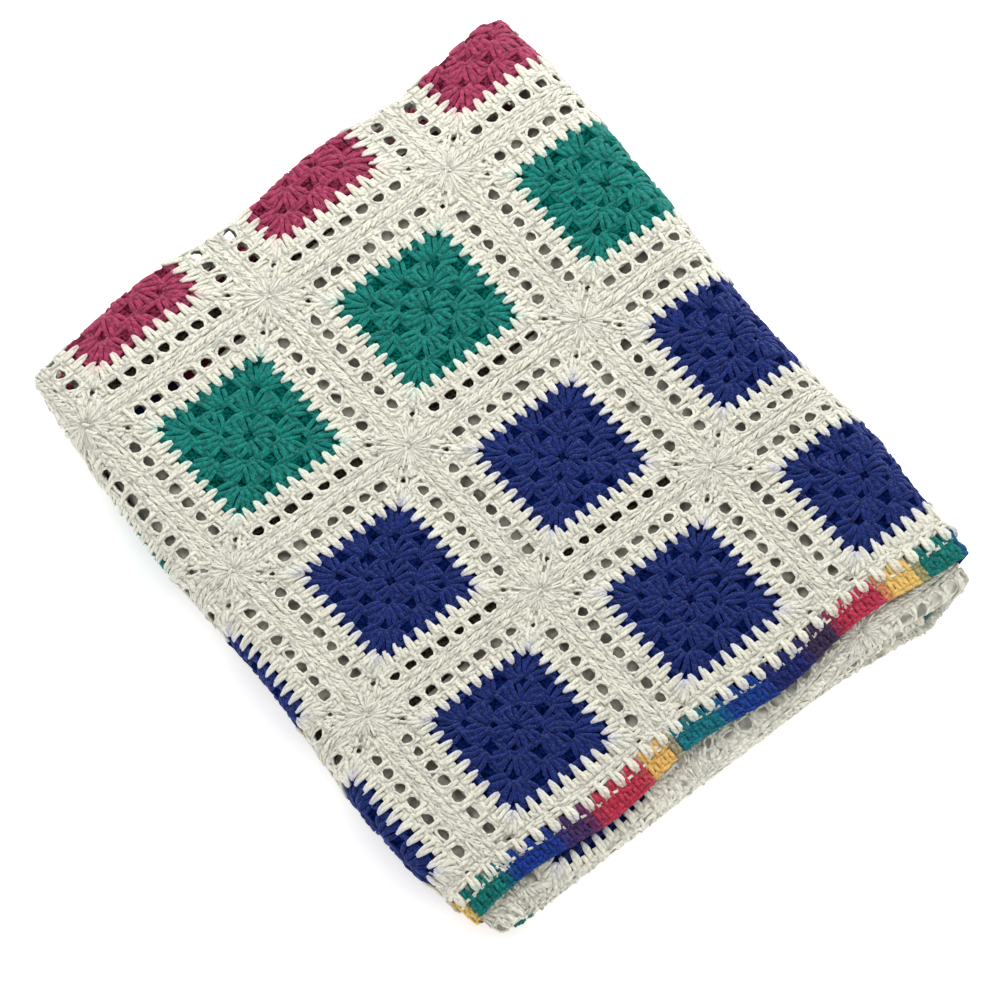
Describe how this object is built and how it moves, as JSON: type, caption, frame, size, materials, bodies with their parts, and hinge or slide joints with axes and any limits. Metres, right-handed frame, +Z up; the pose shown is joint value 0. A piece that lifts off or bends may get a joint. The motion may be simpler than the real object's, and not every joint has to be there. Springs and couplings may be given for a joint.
{
  "type": "folded granny square blanket",
  "caption": "Crocheted throw of joined granny squares with a striped edging, folded in three both ways into a flat stack",
  "frame": {"origin": "middle of the underside of the folded stack, on the surface it lies on", "axes": "+X along the columns towards the full-height fold, +Y along the rows towards the scalloped fold, +Z up"},
  "size_m": [0.3754, 0.4454, 0.0462],
  "materials": {
    "crochet": "matte",
    "edging": "matte"
  },
  "bodies": {
    "root": {"blanket": "crochet", "edging": "edging"}
  },
  "joints": []
}
